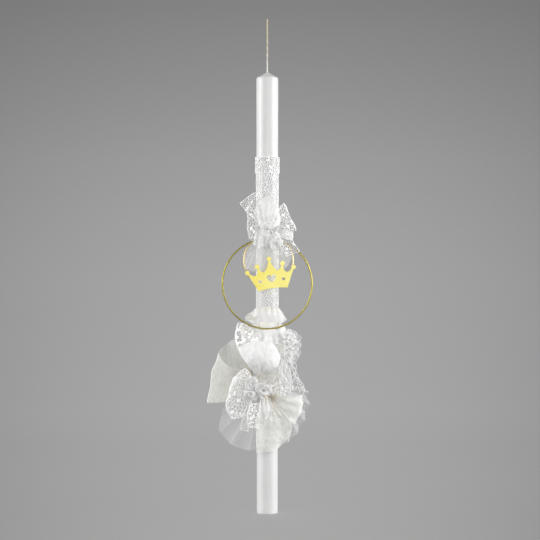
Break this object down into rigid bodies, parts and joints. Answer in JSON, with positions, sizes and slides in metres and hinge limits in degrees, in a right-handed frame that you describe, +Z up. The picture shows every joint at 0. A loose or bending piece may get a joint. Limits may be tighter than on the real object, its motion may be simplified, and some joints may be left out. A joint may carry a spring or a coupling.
{
  "type": "unity candle",
  "caption": "Tall decorated ceremonial candle with a lace sleeve, ribbon and net bows, and gold hoops with a crown that swing on a thread",
  "frame": {"origin": "centre of the candle's flat foot, on the surface that it stands on", "axes": "+Z up along the candle, +X to the right seen from the front, front of the bows and the crown towards -Y"},
  "size_m": [0.1664, 0.0888, 0.7863],
  "materials": {
    "wax": "smooth white candle wax, slightly translucent",
    "wick": "waxed braided cotton",
    "lace": "white guipure lace",
    "net": "white crackle net ribbon with open cells",
    "tulle": "sheer white tulle",
    "organza_white": "white organza ribbon",
    "organza_ivory": "ivory organza ribbon",
    "yarn": "frayed white yarn",
    "cord": "twisted ivory cord",
    "gold_wire": "pale gold plated round wire",
    "gold_plate": "gold mirror sheet, cut out",
    "glue": "clear hot glue"
  },
  "bodies": {
    "root": {"candle_wax": "wax", "wick": "wick", "lace_sleeve": "lace", "lace_cuff": "lace", "upper_tie": "cord", "upper_knot": "organza_ivory", "net_tail_left": "net", "net_loop_left": "net", "net_loop_right": "net", "organza_loop_right": "organza_white", "puff_left": "organza_ivory", "puff_right": "organza_ivory", "net_tail_right": "net", "net_tail_front": "net", "organza_tail_left": "organza_ivory", "tulle_veil": "tulle", "lower_tie_1": "cord", "lower_tie_2": "cord", "lower_knot_1": "organza_ivory", "lower_knot_2": "organza_ivory", "tulle_fan_left": "tulle", "tulle_ruffle_right": "tulle", "tulle_collar": "tulle", "collar_loop": "organza_white", "picot_lace_loop": "lace", "organza_ruffle": "organza_white", "white_petal": "organza_white", "organza_puff_right": "organza_ivory", "guipure_trim": "lace", "thread_strip": "yarn", "ivory_loop_left": "organza_ivory", "crackle_net_loop": "net", "lace_tail": "tulle", "rosette_top": "organza_white", "rosette_left": "organza_white", "rosette_right": "organza_white", "satin_petal": "organza_white", "lace_scrap": "lace", "ivory_fan_right": "organza_ivory", "ivory_panel": "organza_ivory"},
    "hanger": {"hanger_thread": "cord"},
    "outer_ring": {"outer_hoop": "gold_wire"},
    "inner_ring": {"inner_hoop": "gold_wire", "crown": "gold_plate", "glue_dot_1": "glue", "glue_dot_2": "glue", "glue_dot_3": "glue"}
  },
  "joints": [
    {"name": "hanger_sway", "type": "hinge", "parent": "root", "child": "hanger", "pos_m": [0.0014, -0.02883, 0.4507], "axis": [0, 1, 0], "range_deg": [-8, 8]},
    {"name": "outer_hoop_swing", "type": "hinge", "parent": "hanger", "child": "outer_ring", "pos_m": [0, -0.02583, 0.4356], "axis": [-1, 0, 0], "range_deg": [0, 25]},
    {"name": "inner_hoop_swing", "type": "hinge", "parent": "hanger", "child": "inner_ring", "pos_m": [0, -0.03183, 0.4402], "axis": [-1, 0, 0], "range_deg": [0, 25]}
  ]
}
